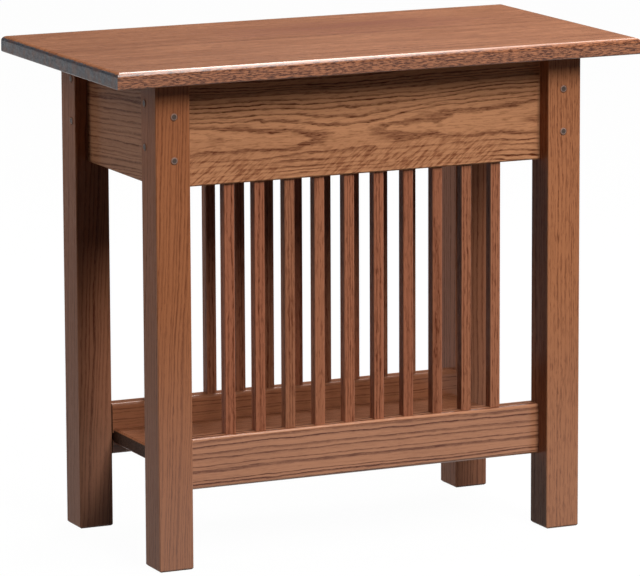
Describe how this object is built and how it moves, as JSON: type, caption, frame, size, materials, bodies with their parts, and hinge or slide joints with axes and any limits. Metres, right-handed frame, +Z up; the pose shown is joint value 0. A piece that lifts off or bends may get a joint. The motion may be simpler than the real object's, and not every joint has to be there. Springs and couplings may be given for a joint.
{
  "type": "chairside table",
  "caption": "Narrow stained-oak chairside table: overhanging rounded top, square legs, plain aprons with round pegs, spindle sides and a low magazine shelf open at both ends.",
  "frame": {"origin": "floor level, at the middle of the table's plan", "axes": "+X along the table's length, +Y from the front long side to the rear one, +Z up"},
  "size_m": [0.66, 0.356, 0.584],
  "materials": {
    "top_oak": "brown stained oak, satin varnish",
    "leg_oak": "brown stained oak, satin varnish",
    "apron_oak": "brown stained oak, satin varnish",
    "rail_oak": "brown stained oak, satin varnish",
    "spindle_oak": "brown stained oak, satin varnish",
    "shelf_oak": "brown stained oak, satin varnish",
    "peg_oak": "dark stained end grain, satin varnish",
    "bare_oak": "bare sanded oak"
  },
  "bodies": {
    "root": {"front_apron": "apron_oak", "front_apron_left_pegs": "peg_oak", "front_apron_right_pegs": "peg_oak", "front_left_leg": "leg_oak", "front_lower_rail": "rail_oak", "front_right_leg": "leg_oak", "front_spindle_01": "spindle_oak", "front_spindle_02": "spindle_oak", "front_spindle_03": "spindle_oak", "front_spindle_04": "spindle_oak", "front_spindle_05": "spindle_oak", "front_spindle_06": "spindle_oak", "front_spindle_07": "spindle_oak", "front_spindle_08": "spindle_oak", "front_spindle_09": "spindle_oak", "front_spindle_10": "spindle_oak", "front_top_button_1": "bare_oak", "front_top_button_2": "bare_oak", "front_top_button_3": "bare_oak", "left_apron": "apron_oak", "left_apron_front_pegs": "peg_oak", "left_apron_rear_pegs": "peg_oak", "rear_apron": "apron_oak", "rear_apron_left_pegs": "peg_oak", "rear_apron_right_pegs": "peg_oak", "rear_left_leg": "leg_oak", "rear_lower_rail": "rail_oak", "rear_right_leg": "leg_oak", "rear_spindle_01": "spindle_oak", "rear_spindle_02": "spindle_oak", "rear_spindle_03": "spindle_oak", "rear_spindle_04": "spindle_oak", "rear_spindle_05": "spindle_oak", "rear_spindle_06": "spindle_oak", "rear_spindle_07": "spindle_oak", "rear_spindle_08": "spindle_oak", "rear_spindle_09": "spindle_oak", "rear_spindle_10": "spindle_oak", "rear_top_button_1": "bare_oak", "rear_top_button_2": "bare_oak", "rear_top_button_3": "bare_oak", "right_apron": "apron_oak", "right_apron_front_pegs": "peg_oak", "right_apron_rear_pegs": "peg_oak", "shelf_front_board": "shelf_oak", "shelf_rear_board": "shelf_oak", "top_front_board": "top_oak", "top_rear_board": "top_oak"}
  },
  "joints": []
}
